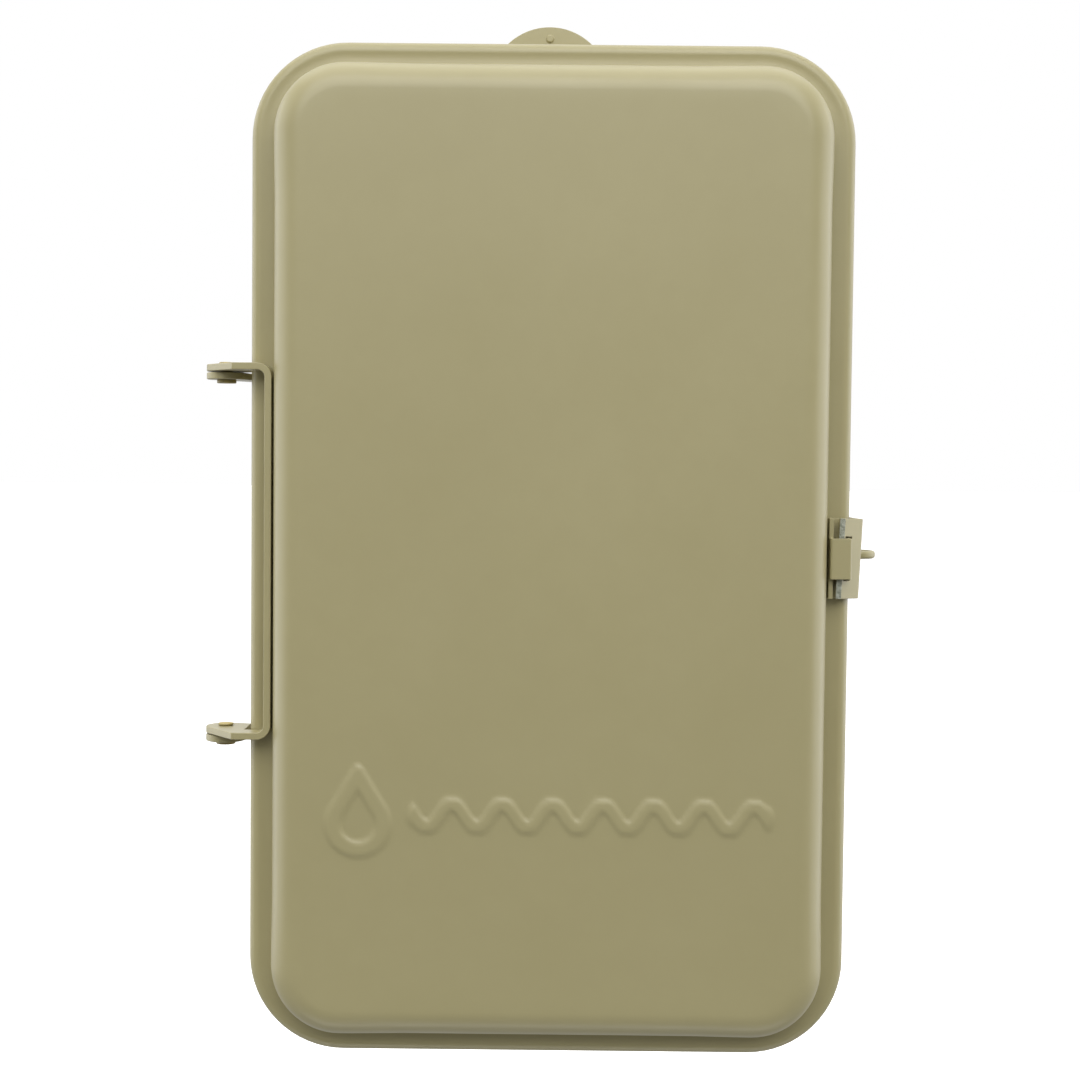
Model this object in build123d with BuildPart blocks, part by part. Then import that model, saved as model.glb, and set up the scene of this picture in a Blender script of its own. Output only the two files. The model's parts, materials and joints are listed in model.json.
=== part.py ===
from build123d import *
import math
import os

# Irrigation controller: a mechanical sprinkler clock in a drawn steel, padlockable wall case.
# Millimetres. Origin: centre of the case's back face, which lies on the wall.
# +X right, +Z up, and the front looks along -Y.
# Plane.XZ looks forward, so every "depth" below is a distance out from the wall.

# ---- case and door ----
sheet = 1.2
case_w = 158.4
case_h = 270.4
case_corner_r = 23.5
case_back_r = 5.0
case_depth = 80.4
door_w = 163.4
door_h = 275.4
door_corner_r = 26.0
skirt_depth = 75.0
flange_depth = 84.0
rim_r = 3.0
pan_w = 148.8
pan_h = 261.6
pan_corner_r = 19.0
pan_depth = 98.0
pan_edge_r = 6.5
pan_root_r = 1.5

# ---- wall fixing ----
tab_t = 1.5
tab_x = -1.3
tab_r = 19.0
tab_z = 142.3
tab_bottom_z = 104.0
tab_hole_r = 3.6
tab_hole_z = 147.0
tab_pip_z = 157.6
foot_hole_x = 55.0
foot_hole_z = -116.0
foot_hole_r = 2.75

# ---- conduit knockouts ----
knockout_r = 11.1
knockout_depth = 42.0
knockout_step = 0.4
bottom_knockout_x = (-42.0, 0.0, 42.0)
side_knockout_z = -92.0
ground_x = 60.0
ground_z = -92.0

# ---- door hinge ----
hinge_x = -89.4
hinge_depth = 76.6
hinge_z = 0.0
hinge_h = 101.6
hinge_t = 1.9
hinge_gap = 0.3
eye_r = 5.4
rivet_r = 1.6
rivet_clearance = 0.06
rivet_head_gap = 0.1
rivet_top_r = 2.1
rivet_top_h = 0.6
rivet_foot_r = 2.65
rivet_foot_h = 1.0
web_x = -75.0
strap_front = 90.6
strap_back = 84.3
neck_x = -83.0
case_ear_front = 73.5
case_ear_back = 60.0
bend_r = 2.0
ear_reach = 4.0

# ---- padlock hasp ----
hasp_x = 78.4
hasp_depth = 87.6
hasp_z = -0.35
hasp_t = 1.5
hasp_bend_r = 1.3
hasp_h = 21.8
hasp_tilt = 2.5
bar_front = -1.1
bar_back = 0.5
window_end = 6.5
window_side = 3.3
flare_start = 0.3
flare_x = 6.0
flare_y = 6.0
leg_x = 5.1
leg_y = 12.0
leg_end = 33.0
fork_start = 18.6
fork_half = 2.9
hasp_corner_r = 2.5
loop_t = 1.2
loop_corner_r = 0.8
loop_foot_right = 78.6
loop_foot_t = 1.0
loop_rise = 88.3
loop_h = 11.0
loop_left = 75.3
loop_right = 81.2
staple_depth = 62.0
staple_w = 11.0
staple_t = 2.3
staple_foot_h = 5.0
staple_tip_x = 92.4
padlock_hole_r = 3.0
padlock_hole_x = 88.0

# ---- mechanism chassis ----
chassis_w = 126.0
chassis_top = 124.0
chassis_bottom = -78.0
chassis_depth = 46.0
chassis_t = 1.5
foot_w = 10.0
foot_gap = 12.0
chassis_screw_x = 68.2
chassis_screw_z = (98.0, -62.0)
screw_r = 2.0
screw_head_r = 3.6
screw_head_h = 2.4
screw_tip = 0.25
screw_slot = 0.9

# ---- 24 hour dial and its drive ----
dial_x = -8.0
dial_z = 58.0
dial_r = 49.0
dial_depth = 59.5
dial_t = 1.5
arbor_r = 3.0
arbor_back = 37.0
arbor_front = 66.0
bush_r = 5.0
hub_r = 8.0
knob_r = 8.5
knob_flange_r = 10.0
knob_h = 6.0
running = 0.06
module = 0.8
dial_teeth = 96
pinion_teeth = 12
gear_depth = 47.6
gear_t = 2.8
motor_r = 26.0
motor_back = 22.0
motor_ear_x = 30.0
motor_ear_t = 1.2
motor_stud_r = 1.6
pinion_shaft_r = 1.5
motor_z = dial_z - module * (dial_teeth + pinion_teeth) / 2
finger_depth = 51.5
finger_t = 2.5
finger_r = 51.6
finger_angle = 83.4
on_angles = (150.0, 330.0)
off_angles = (190.0, 15.0)
tripper_in = 42.0
tripper_out = 53.0

# ---- 14 day skip wheel ----
day_x = 38.0
day_z = 0.0
day_teeth = 14
day_tip_r = 22.0
day_root_r = 18.0
day_disc_r = 20.0
day_pin_ring = 16.5
day_pin_r = 1.1
day_boss_r = 6.0
day_disc_t = 2.0
stud_r = 2.5
stud_neck_r = 2.0

# ---- manual switch lever and contacts ----
lever_x = -36.0
lever_z = -14.0
lever_arbor_r = 2.5
lever_depth = 55.0
lever_t = 2.0
handle_r = 24.0
handle_angle = 200.0
trip_arm_angle = 100.0
lever_back = 25.0
rocker_back = 26.0
rocker_w = 17.0
rocker_drop = 22.0
contact_x = -44.0
contact_root_z = -56.0
contact_tip_z = -27.0
leaf_lift = 0.08
contact_layers = (27.0, 36.0)
contact_block_back = 24.0
leaf_w = 6.0
leaf_t = 0.5
post_gap = 4.4
post_t = 1.8
button_r = 2.0

# ---- terminals ----
terminal_w = 98.0
terminal_h = 24.0
terminal_z = -104.0
terminal_depth = 18.0
terminal_count = 6
terminal_pitch = 12.04
terminal_base_t = 6.0
terminal_step_t = 6.0
terminal_wall = 1.6
terminal_screw_r = 1.8
block_screw_inset = 6.0
lead_r = 1.2
lead_bend_r = 7.0
lead_start_depth = 32.0
lead_bend_z = -60.0


def export(part, name):
    """Label one finished piece and write it as its own STEP file."""
    part.label = name
    export_step(part, "parts/" + name + ".step")


def toothed_outline(teeth, tip_r, root_r, tip_half, root_half, phase):
    """Points of a wheel outline with straight-sided teeth; phase turns the first tooth, in degrees."""
    points = []
    for k in range(teeth):
        middle = math.radians(phase + 360.0 * k / teeth)
        for radius, half in ((root_r, -root_half), (tip_r, -tip_half), (tip_r, tip_half), (root_r, root_half)):
            angle = middle + half / radius
            points.append((radius * math.cos(angle), radius * math.sin(angle)))
    return points


def polar(x, z, radius, degrees):
    """The point at a radius and angle from a centre in the front view."""
    turn = math.radians(degrees)
    return (x + radius * math.cos(turn), z + radius * math.sin(turn))


os.makedirs("parts", exist_ok=True)

# ======== case ========

base_t = terminal_base_t
block_screw_places = [(side * (terminal_w / 2 - block_screw_inset), terminal_z) for side in (-1, 1)]
pocket_w = 2 * tab_r + 0.6

with BuildPart() as case_body:
    with BuildSketch(Plane.XZ):
        RectangleRounded(case_w, case_h, case_corner_r)
    extrude(amount=case_depth)
    fillet(case_body.faces().sort_by(Axis.Y)[-1].edges(), case_back_r)
    offset(amount=-sheet, openings=case_body.faces().sort_by(Axis.Y)[0])
    # pressed pocket that lets the hanging tab lie flush with the back
    pocket_top = case_h / 2
    with BuildSketch(Plane.XZ.offset(sheet)):
        with Locations((tab_x, (tab_bottom_z - 2 + pocket_top - sheet) / 2)):
            Rectangle(pocket_w + 4, pocket_top - sheet - tab_bottom_z + 2)
    extrude(amount=tab_t)
    with BuildSketch(Plane.XZ):
        with Locations((tab_x, (tab_bottom_z - 0.3 + pocket_top) / 2)):
            Rectangle(pocket_w, pocket_top - tab_bottom_z + 0.3)
    extrude(amount=tab_t, mode=Mode.SUBTRACT)
    # two lower wall screws
    with BuildSketch(Plane.XZ):
        with Locations((-foot_hole_x, foot_hole_z), (foot_hole_x, foot_hole_z)):
            Circle(foot_hole_r)
    extrude(amount=sheet * 2, mode=Mode.SUBTRACT)
    # blind threads for the chassis, terminal block and ground screws
    with BuildSketch(Plane.XZ.offset(0.2)):
        with Locations(*[(sx * chassis_screw_x, z) for sx in (-1, 1) for z in chassis_screw_z]):
            Circle(screw_r)
        with Locations(*block_screw_places):
            Circle(screw_r)
        with Locations((ground_x, ground_z)):
            Circle(screw_r)
    extrude(amount=sheet, mode=Mode.SUBTRACT)
    # knockouts: three below, one on each side
    with BuildSketch(Plane.XY.offset(-case_h / 2)):
        with Locations(*[(x, -knockout_depth) for x in bottom_knockout_x]):
            Circle(knockout_r)
    extrude(amount=sheet, mode=Mode.SUBTRACT)
    with BuildSketch(Plane.YZ.offset(-case_w / 2)):
        with Locations((-knockout_depth, side_knockout_z)):
            Circle(knockout_r)
    extrude(amount=case_w, mode=Mode.SUBTRACT)
export(case_body.part, "case_body")

with BuildPart() as knockout_plugs:
    with BuildSketch(Plane.XY.offset(-case_h / 2 - knockout_step)):
        with Locations(*[(x, -knockout_depth) for x in bottom_knockout_x]):
            Circle(knockout_r)
    extrude(amount=sheet)
    with BuildSketch(Plane.YZ.offset(-case_w / 2 - knockout_step)):
        with Locations((-knockout_depth, side_knockout_z)):
            Circle(knockout_r)
    extrude(amount=sheet)
    with BuildSketch(Plane.YZ.offset(case_w / 2 + knockout_step - sheet)):
        with Locations((-knockout_depth, side_knockout_z)):
            Circle(knockout_r)
    extrude(amount=sheet)
export(knockout_plugs.part, "knockout_plugs")

with BuildPart() as hanging_tab:
    with BuildSketch(Plane.XZ):
        with Locations((tab_x, tab_z)):
            Circle(tab_r)
        with Locations((tab_x, (tab_z + tab_bottom_z) / 2)):
            Rectangle(2 * tab_r, tab_z - tab_bottom_z)
        with Locations((tab_x, tab_hole_z)):
            Circle(tab_hole_r, mode=Mode.SUBTRACT)
    extrude(amount=tab_t)
    # small pressed pip near the top edge
    with BuildSketch(Plane.XZ.offset(tab_t)):
        with Locations((tab_x, tab_pip_z)):
            Circle(1.2)
    extrude(amount=0.6)
    fillet(hanging_tab.faces().sort_by(Axis.Y)[0].edges(), 0.4)
export(hanging_tab.part, "hanging_tab")

# ======== door ========

with BuildPart() as door_shell:
    with BuildSketch(Plane.XZ.offset(skirt_depth)):
        RectangleRounded(door_w, door_h, door_corner_r)
    extrude(amount=flange_depth - skirt_depth)
    fillet(door_shell.faces().sort_by(Axis.Y)[0].edges(), rim_r)
    with BuildSketch(Plane.XZ.offset(flange_depth)):
        RectangleRounded(pan_w, pan_h, pan_corner_r)
    extrude(amount=pan_depth - flange_depth)
    new_edges = door_shell.edges(Select.LAST)
    fillet(new_edges.filter_by_position(Axis.Y, -flange_depth - 0.1, -flange_depth + 0.1), pan_root_r)
    fillet(door_shell.faces().sort_by(Axis.Y)[0].edges(), pan_edge_r)
    offset(amount=-sheet, openings=door_shell.faces().sort_by(Axis.Y)[-1])
export(door_shell.part, "door_shell")

# ======== hinge ========

hinge_top = hinge_z + hinge_h / 2
hinge_bottom = hinge_z - hinge_h / 2
door_ear_levels = (hinge_top - hinge_t, hinge_bottom)
case_ear_levels = (hinge_top - 2 * hinge_t - hinge_gap, hinge_bottom - hinge_t - hinge_gap)

with BuildPart() as door_hinge_bracket:
    # one strip bent into a U: the web stands in the door's flange channel beside the raised pan
    with BuildSketch(Plane.XZ.offset(strap_back)):
        with Locations((web_x - (web_x - neck_x) / 2 - hinge_t / 2, hinge_z)):
            Rectangle(web_x - neck_x + hinge_t, hinge_h)
    extrude(amount=strap_front - strap_back)
    fillet(door_hinge_bracket.edges().filter_by(Axis.Y).group_by(Axis.X)[-1], bend_r + hinge_t)
    with BuildSketch(Plane.XZ.offset(strap_back)):
        with Locations((neck_x - 10 + (web_x - hinge_t - neck_x + 10) / 2, hinge_z)):
            RectangleRounded(web_x - hinge_t - neck_x + 10, hinge_h - 2 * hinge_t, bend_r)
    extrude(amount=strap_front - strap_back, mode=Mode.SUBTRACT)
    # ears reach out and back to the eyes
    for level in door_ear_levels:
        with BuildSketch(Plane.XY.offset(level)):
            with BuildLine():
                CenterArc((hinge_x, -hinge_depth), eye_r, 0, 360)
                Polyline(
                    (neck_x - 2.6, -strap_front),
                    (neck_x, -strap_front),
                    (neck_x, -hinge_depth + ear_reach),
                    (hinge_x, -hinge_depth + ear_reach),
                )
            make_hull()
        extrude(amount=hinge_t)
    with BuildSketch(Plane.XY.offset(hinge_bottom - 1)):
        with Locations((hinge_x, -hinge_depth)):
            Circle(rivet_r + rivet_clearance)
    extrude(amount=hinge_h + 2, mode=Mode.SUBTRACT)
export(door_hinge_bracket.part, "door_hinge_bracket")

with BuildPart() as case_hinge_bracket:
    # web on the case wall, with ears one thickness below the door's
    web_low = case_ear_levels[1]
    web_high = case_ear_levels[0] + hinge_t
    with BuildSketch(Plane.YZ.offset(-case_w / 2 - hinge_t)):
        with Locations((-(case_ear_front + case_ear_back) / 2, (web_low + web_high) / 2)):
            Rectangle(case_ear_front - case_ear_back, web_high - web_low)
    extrude(amount=hinge_t)
    for level in case_ear_levels:
        with BuildSketch(Plane.XY.offset(level)):
            with BuildLine():
                CenterArc((hinge_x, -hinge_depth), eye_r, 0, 360)
                Polyline((neck_x - 1, -case_ear_front), (neck_x, -case_ear_front), (neck_x, -case_ear_back))
            make_hull()
            with Locations(((neck_x - 0.5 - case_w / 2) / 2, -(case_ear_front + case_ear_back) / 2)):
                Rectangle(case_w / -2 - neck_x + 0.5, case_ear_front - case_ear_back)
        extrude(amount=hinge_t)
    with BuildSketch(Plane.XY.offset(web_low - 1)):
        with Locations((hinge_x, -hinge_depth)):
            Circle(rivet_r)
    extrude(amount=hinge_h + 4, mode=Mode.SUBTRACT)
export(case_hinge_bracket.part, "case_hinge_bracket")

with BuildPart() as hinge_rivets:
    for door_level, case_level in zip(door_ear_levels, case_ear_levels):
        head_z = door_level + hinge_t + rivet_head_gap
        with BuildSketch(Plane.XY.offset(case_level)):
            with Locations((hinge_x, -hinge_depth)):
                Circle(rivet_r)
        extrude(amount=head_z - case_level)
        with BuildSketch(Plane.XY.offset(head_z)):
            with Locations((hinge_x, -hinge_depth)):
                Circle(rivet_top_r)
        extrude(amount=rivet_top_h)
        with BuildSketch(Plane.XY.offset(case_level - rivet_foot_h)):
            with Locations((hinge_x, -hinge_depth)):
                Circle(rivet_foot_r)
        extrude(amount=rivet_foot_h)
    fillet(hinge_rivets.edges().filter_by(GeomType.CIRCLE).group_by(Axis.Z)[-1], 0.35)
export(hinge_rivets.part, "hinge_rivets")

# ======== padlock hasp ========

with BuildPart() as hasp_loop:
    # fixed strap on the door that the hasp plate hangs on
    with BuildSketch(Plane.XY.offset(hasp_z - loop_h / 2)):
        with Locations(((loop_left + loop_right) / 2, -(strap_front + strap_back) / 2)):
            Rectangle(loop_right - loop_left, strap_front - strap_back)
    extrude(amount=loop_h)
    fillet(hasp_loop.edges().filter_by(Axis.Z).group_by(Axis.Y)[0], loop_corner_r)
    with BuildSketch(Plane.XY.offset(hasp_z - loop_h / 2)):
        with Locations(((loop_left + loop_right) / 2, -(strap_front + strap_back) / 2 + loop_t + 1)):
            RectangleRounded(loop_right - loop_left - 2 * loop_t, strap_front - strap_back + 2, 0.4)
    extrude(amount=loop_h, mode=Mode.SUBTRACT)
    # taller foot in the flange channel, with an upturned edge beside the pan
    with BuildSketch(Plane.XY.offset(hasp_z - hasp_h / 2)):
        with Locations(((loop_left + loop_foot_right) / 2, -(strap_back + loop_foot_t / 2))):
            Rectangle(loop_foot_right - loop_left, loop_foot_t)
        with Locations((loop_left + loop_t / 2, -(strap_back + loop_rise) / 2)):
            Rectangle(loop_t, loop_rise - strap_back)
    extrude(amount=hasp_h)
export(hasp_loop.part, "hasp_loop")

tilt = math.radians(hasp_tilt)
hasp_plane = Plane(
    origin=(hasp_x, -hasp_depth, hasp_z),
    x_dir=(math.cos(tilt), 0, -math.sin(tilt)),
    z_dir=(math.sin(tilt), 0, math.cos(tilt)),
)
with BuildPart() as hasp_plate:
    with BuildSketch(hasp_plane.offset(-hasp_h / 2)):
        with BuildLine():
            FilletPolyline(
                (0, bar_front),
                (0, flare_start),
                (flare_x, flare_y),
                (leg_x, leg_y),
                (leg_x, leg_end),
                radius=hasp_bend_r,
            )
        trace(line_width=hasp_t)
    extrude(amount=hasp_h)
    # window that the strap passes through, leaving the bar the plate swings on
    with BuildSketch(hasp_plane.offset(-loop_h / 2 - 0.5)):
        with Locations((window_side - 5, (bar_back + window_end) / 2)):
            Rectangle(10, window_end - bar_back)
    extrude(amount=loop_h + 1, mode=Mode.SUBTRACT)
    # fork that straddles the staple, open at the back
    with BuildSketch(hasp_plane.offset(-fork_half)):
        with Locations((leg_x, (fork_start + leg_end + 2) / 2)):
            Rectangle(6, leg_end + 2 - fork_start)
    extrude(amount=2 * fork_half, mode=Mode.SUBTRACT)
    # rounded rear corners
    side_plane = Plane(origin=hasp_plane.origin, x_dir=(0, 1, 0), z_dir=hasp_plane.x_dir)
    with BuildSketch(side_plane.offset(-10)):
        with Locations((leg_end - 30, 0)):
            RectangleRounded(60, hasp_h, hasp_corner_r)
    extrude(amount=30, mode=Mode.INTERSECT)
export(hasp_plate.part, "hasp_plate")

with BuildPart() as padlock_staple:
    # foot on the case wall and a round-ended tongue with the padlock hole
    tip_r = staple_w / 2
    with BuildSketch(Plane.XY.offset(hasp_z - staple_t / 2)):
        with Locations((staple_tip_x - tip_r, -staple_depth)):
            Circle(tip_r)
        with Locations(((case_w / 2 + staple_tip_x - tip_r) / 2, -staple_depth)):
            Rectangle(staple_tip_x - tip_r - case_w / 2, staple_w)
        with Locations((padlock_hole_x, -staple_depth)):
            Circle(padlock_hole_r, mode=Mode.SUBTRACT)
    extrude(amount=staple_t)
    outline = padlock_staple.edges().filter_by(lambda e: e.center().X > staple_tip_x - tip_r)
    fillet(outline.filter_by(lambda e: abs(e.length - math.pi * tip_r) < 0.5), 0.9)
    with BuildSketch(Plane.YZ.offset(case_w / 2)):
        with Locations((-staple_depth, hasp_z)):
            RectangleRounded(staple_w, staple_foot_h, 1.2)
    extrude(amount=sheet)
export(padlock_staple.part, "padlock_staple")

# ======== mechanism chassis ========

leg_outer = chassis_w / 2
chassis_h = chassis_top - chassis_bottom
chassis_mid = (chassis_top + chassis_bottom) / 2

with BuildPart() as mechanism_plate:
    with BuildSketch(Plane.XZ.offset(chassis_depth - chassis_t)):
        with Locations((0, chassis_mid)):
            Rectangle(chassis_w, chassis_h)
        with Locations((dial_x, dial_z)):
            Circle(bush_r, mode=Mode.SUBTRACT)
        with Locations((dial_x, motor_z)):
            Circle(7.0, mode=Mode.SUBTRACT)
        with Locations((lever_x, lever_z)):
            Circle(lever_arbor_r + running, mode=Mode.SUBTRACT)
        with Locations((day_x, day_z)):
            Circle(stud_neck_r, mode=Mode.SUBTRACT)
    extrude(amount=chassis_t)
    for side in (-1, 1):
        with BuildSketch(Plane.XZ.offset(sheet)):
            with Locations((side * (leg_outer - chassis_t / 2), chassis_mid)):
                Rectangle(chassis_t, chassis_h)
        extrude(amount=chassis_depth - sheet)
        with BuildSketch(Plane.XZ.offset(sheet)):
            with Locations((side * (leg_outer + foot_w / 2 - chassis_t / 2), chassis_mid - foot_gap / 2)):
                Rectangle(foot_w + chassis_t, chassis_h - foot_gap)
            with Locations(*[(side * chassis_screw_x, z) for z in chassis_screw_z]):
                Circle(screw_r + 0.2, mode=Mode.SUBTRACT)
        extrude(amount=chassis_t)
    front_bends = mechanism_plate.edges().filter_by(Axis.Z).filter_by_position(
        Axis.Y, -chassis_depth - 0.1, -chassis_depth + 0.1
    )
    fillet(front_bends, 1.4)
export(mechanism_plate.part, "mechanism_plate")


def pan_head_screws(places, seat, tip):
    """Round-headed slotted screws that stand on a seat depth and end at a tip depth."""
    with BuildPart() as screws:
        with BuildSketch(Plane.XZ.offset(tip)):
            with Locations(*places):
                Circle(screw_r)
        extrude(amount=seat - tip)
        with BuildSketch(Plane.XZ.offset(seat)):
            with Locations(*places):
                Circle(screw_head_r)
        extrude(amount=screw_head_h)
        fillet(screws.faces().sort_by(Axis.Y)[0].edges() if len(places) == 1 else
               screws.edges().filter_by(GeomType.CIRCLE).group_by(Axis.Y)[0], 0.9)
        with BuildSketch(Plane.XZ.offset(seat + screw_head_h - 1.0)):
            with Locations(*places):
                Rectangle(2 * screw_head_r + 1, screw_slot)
        extrude(amount=1.5, mode=Mode.SUBTRACT)
    return screws.part


chassis_screw_places = [(sx * chassis_screw_x, z) for sx in (-1, 1) for z in chassis_screw_z]
export(pan_head_screws(chassis_screw_places, sheet + chassis_t, screw_tip), "chassis_screws")

# ======== 24 hour dial ========

with BuildPart() as dial_bush:
    with BuildSketch(Plane.XZ.offset(chassis_depth - chassis_t - 4)):
        with Locations((dial_x, dial_z)):
            Circle(bush_r)
            Circle(arbor_r + running, mode=Mode.SUBTRACT)
    extrude(amount=chassis_t + 5)
    with BuildSketch(Plane.XZ.offset(chassis_depth - chassis_t - 2)):
        with Locations((dial_x, dial_z)):
            Circle(bush_r + 3)
            Circle(bush_r, mode=Mode.SUBTRACT)
    extrude(amount=2)
export(dial_bush.part, "dial_bush")

with BuildPart() as dial_arbor:
    with BuildSketch(Plane.XZ.offset(arbor_back)):
        with Locations((dial_x, dial_z)):
            Circle(arbor_r)
    extrude(amount=arbor_front - arbor_back)
    with BuildSketch(Plane.XZ.offset(arbor_back)):
        with Locations((dial_x, dial_z)):
            Circle(arbor_r + 1.6)
    extrude(amount=1.6)
export(dial_arbor.part, "dial_arbor")


def gear_points(x, z, teeth, phase):
    """Outline points of a spur gear of the train's module, with running backlash in its teeth."""
    pitch_r = module * teeth / 2
    outline = toothed_outline(teeth, pitch_r + 0.75, pitch_r - 0.95, 0.22, 0.70, phase)
    return [(x + u, z + v) for u, v in outline]


with BuildPart() as dial_gear:
    with BuildSketch(Plane.XZ.offset(gear_depth)):
        with BuildLine():
            Polyline(*gear_points(dial_x, dial_z, dial_teeth, 180.0 / dial_teeth), close=True)
        make_face()
        with Locations((dial_x, dial_z)):
            Circle(arbor_r, mode=Mode.SUBTRACT)
            with PolarLocations(24, 5):
                Circle(6, mode=Mode.SUBTRACT)
    extrude(amount=gear_t)
export(dial_gear.part, "dial_gear")

with BuildPart() as day_finger:
    # one arm behind the dial that moves the day wheel on by one tooth each turn
    tip = polar(dial_x, dial_z, finger_r - 1.5, finger_angle)
    with BuildSketch(Plane.XZ.offset(gear_depth + gear_t)):
        with Locations((dial_x, dial_z)):
            Circle(hub_r)
            Circle(arbor_r, mode=Mode.SUBTRACT)
    extrude(amount=finger_depth + finger_t - gear_depth - gear_t)
    with BuildSketch(Plane.XZ.offset(finger_depth)):
        with BuildLine():
            Line(polar(dial_x, dial_z, 7, finger_angle), tip)
        trace(line_width=5)
        with Locations(tip):
            Circle(1.5)
    extrude(amount=finger_t)
export(day_finger.part, "day_finger")

with BuildPart() as dial_disc:
    with BuildSketch(Plane.XZ.offset(finger_depth + finger_t)):
        with Locations((dial_x, dial_z)):
            Circle(hub_r)
    extrude(amount=dial_depth - finger_depth - finger_t)
    with BuildSketch(Plane.XZ.offset(dial_depth)):
        with Locations((dial_x, dial_z)):
            Circle(dial_r)
    extrude(amount=dial_t)
    with BuildSketch(Plane.XZ.offset(finger_depth)):
        with Locations((dial_x, dial_z)):
            Circle(arbor_r)
    extrude(amount=20, mode=Mode.SUBTRACT)
    fillet(dial_disc.faces().sort_by(Axis.Y)[0].edges().sort_by(SortBy.LENGTH)[-1], 0.5)
export(dial_disc.part, "dial_24_hour")

dial_face = dial_depth + dial_t
with BuildPart() as dial_knob:
    with BuildSketch(Plane.XZ.offset(dial_face)):
        with Locations((dial_x, dial_z)):
            Circle(knob_flange_r)
            Circle(arbor_r, mode=Mode.SUBTRACT)
    extrude(amount=1.5)
    with BuildSketch(Plane.XZ.offset(dial_face + 1.5)):
        with Locations((dial_x, dial_z)):
            Circle(knob_r)
            Circle(arbor_r, mode=Mode.SUBTRACT)
            with PolarLocations(knob_r + 0.4, 16):
                Circle(0.8, mode=Mode.SUBTRACT)
    extrude(amount=knob_h)
    fillet(dial_knob.edges().filter_by(GeomType.CIRCLE).sort_by(SortBy.RADIUS)[-1], 0.4)
export(dial_knob.part, "dial_knob")


def rim_clips(angles, tab):
    """Trippers clipped over the dial's rim; tab is how far the tripping toe reaches to one side."""
    with BuildPart() as clips:
        for angle in angles:
            place = Plane(
                origin=(dial_x, 0, dial_z),
                x_dir=(math.cos(math.radians(angle)), 0, math.sin(math.radians(angle))),
                z_dir=(0, -1, 0),
            )
            middle = (tripper_in + tripper_out) / 2
            with BuildSketch(place.offset(dial_face)):
                with Locations((middle, 0)):
                    Rectangle(tripper_out - tripper_in, 9)
                with Locations((tripper_out - 2, tab)):
                    Rectangle(4, 8)
            extrude(amount=3)
            with BuildSketch(place.offset(dial_depth - 1.3)):
                with Locations((middle, 0)):
                    Rectangle(tripper_out - tripper_in, 9)
            extrude(amount=1.3)
            with BuildSketch(place.offset(dial_depth)):
                with Locations(((dial_r + 0.3 + tripper_out) / 2, 0)):
                    Rectangle(tripper_out - dial_r - 0.3, 9)
            extrude(amount=dial_t)
            with BuildSketch(place.offset(dial_face)):
                with Locations((tripper_in + 4, 0)):
                    Circle(1.5)
            extrude(amount=3, mode=Mode.SUBTRACT)
    return clips.part


export(rim_clips(on_angles, 6.0), "on_trippers")
export(rim_clips(off_angles, -6.0), "off_trippers")

with BuildPart() as tripper_screws:
    places = [polar(dial_x, dial_z, tripper_in + 4, a) for a in on_angles + off_angles]
    with BuildSketch(Plane.XZ.offset(dial_face)):
        with Locations(*places):
            Circle(1.5)
    extrude(amount=4)
    with BuildSketch(Plane.XZ.offset(dial_face + 3)):
        with Locations(*places):
            Circle(3.4)
            with PolarLocations(3.7, 10):
                Circle(0.5, mode=Mode.SUBTRACT)
    extrude(amount=4)
export(tripper_screws.part, "tripper_screws")

pointer_z = dial_z + tripper_out + 1.5
with BuildPart() as time_pointer:
    with BuildSketch(Plane.XZ.offset(chassis_depth)):
        with Locations((dial_x, chassis_top - 3)):
            Rectangle(12, 6)
    extrude(amount=1.0)
    with BuildSketch(Plane.XZ.offset(chassis_depth)):
        with Locations((dial_x, chassis_top - 5.5)):
            Rectangle(5, 1)
    extrude(amount=dial_face - chassis_depth)
    with BuildSketch(Plane.XZ.offset(dial_face - 1)):
        with BuildLine():
            Polyline(
                (dial_x, pointer_z), (dial_x + 2.5, chassis_top - 5), (dial_x - 2.5, chassis_top - 5), close=True
            )
        make_face()
    extrude(amount=1.0)
export(time_pointer.part, "time_pointer")

# ======== motor ========

with BuildPart() as motor_can:
    with BuildSketch(Plane.XZ.offset(motor_back)):
        with Locations((dial_x, motor_z)):
            Circle(motor_r)
    extrude(amount=chassis_depth - chassis_t - motor_back)
    fillet(motor_can.faces().sort_by(Axis.Y)[-1].edges(), 2.5)
    with BuildSketch(Plane.XZ.offset(chassis_depth - chassis_t - motor_ear_t)):
        with Locations((dial_x, motor_z)):
            Rectangle(2 * motor_ear_x + 6, 12)
    extrude(amount=motor_ear_t)
    with BuildSketch(Plane.XZ.offset(motor_back)):
        with Locations((dial_x, motor_z)):
            Circle(pinion_shaft_r + running)
        with Locations((dial_x - motor_ear_x, motor_z), (dial_x + motor_ear_x, motor_z)):
            Circle(motor_stud_r)
    extrude(amount=30, mode=Mode.SUBTRACT)
    # gearbox cap closes the back of the can again
    with BuildSketch(Plane.XZ.offset(motor_back - 2)):
        with Locations((dial_x, motor_z)):
            Circle(14)
    extrude(amount=4)
export(motor_can.part, "motor_can")

with BuildPart() as motor_pinion:
    with BuildSketch(Plane.XZ.offset(gear_depth)):
        with BuildLine():
            Polyline(*gear_points(dial_x, motor_z, pinion_teeth, 90.0), close=True)
        make_face()
    extrude(amount=gear_t)
    with BuildSketch(Plane.XZ.offset(motor_back + 4)):
        with Locations((dial_x, motor_z)):
            Circle(pinion_shaft_r)
    extrude(amount=gear_depth + gear_t - motor_back - 4 + 0.6)
export(motor_pinion.part, "motor_pinion")

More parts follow.
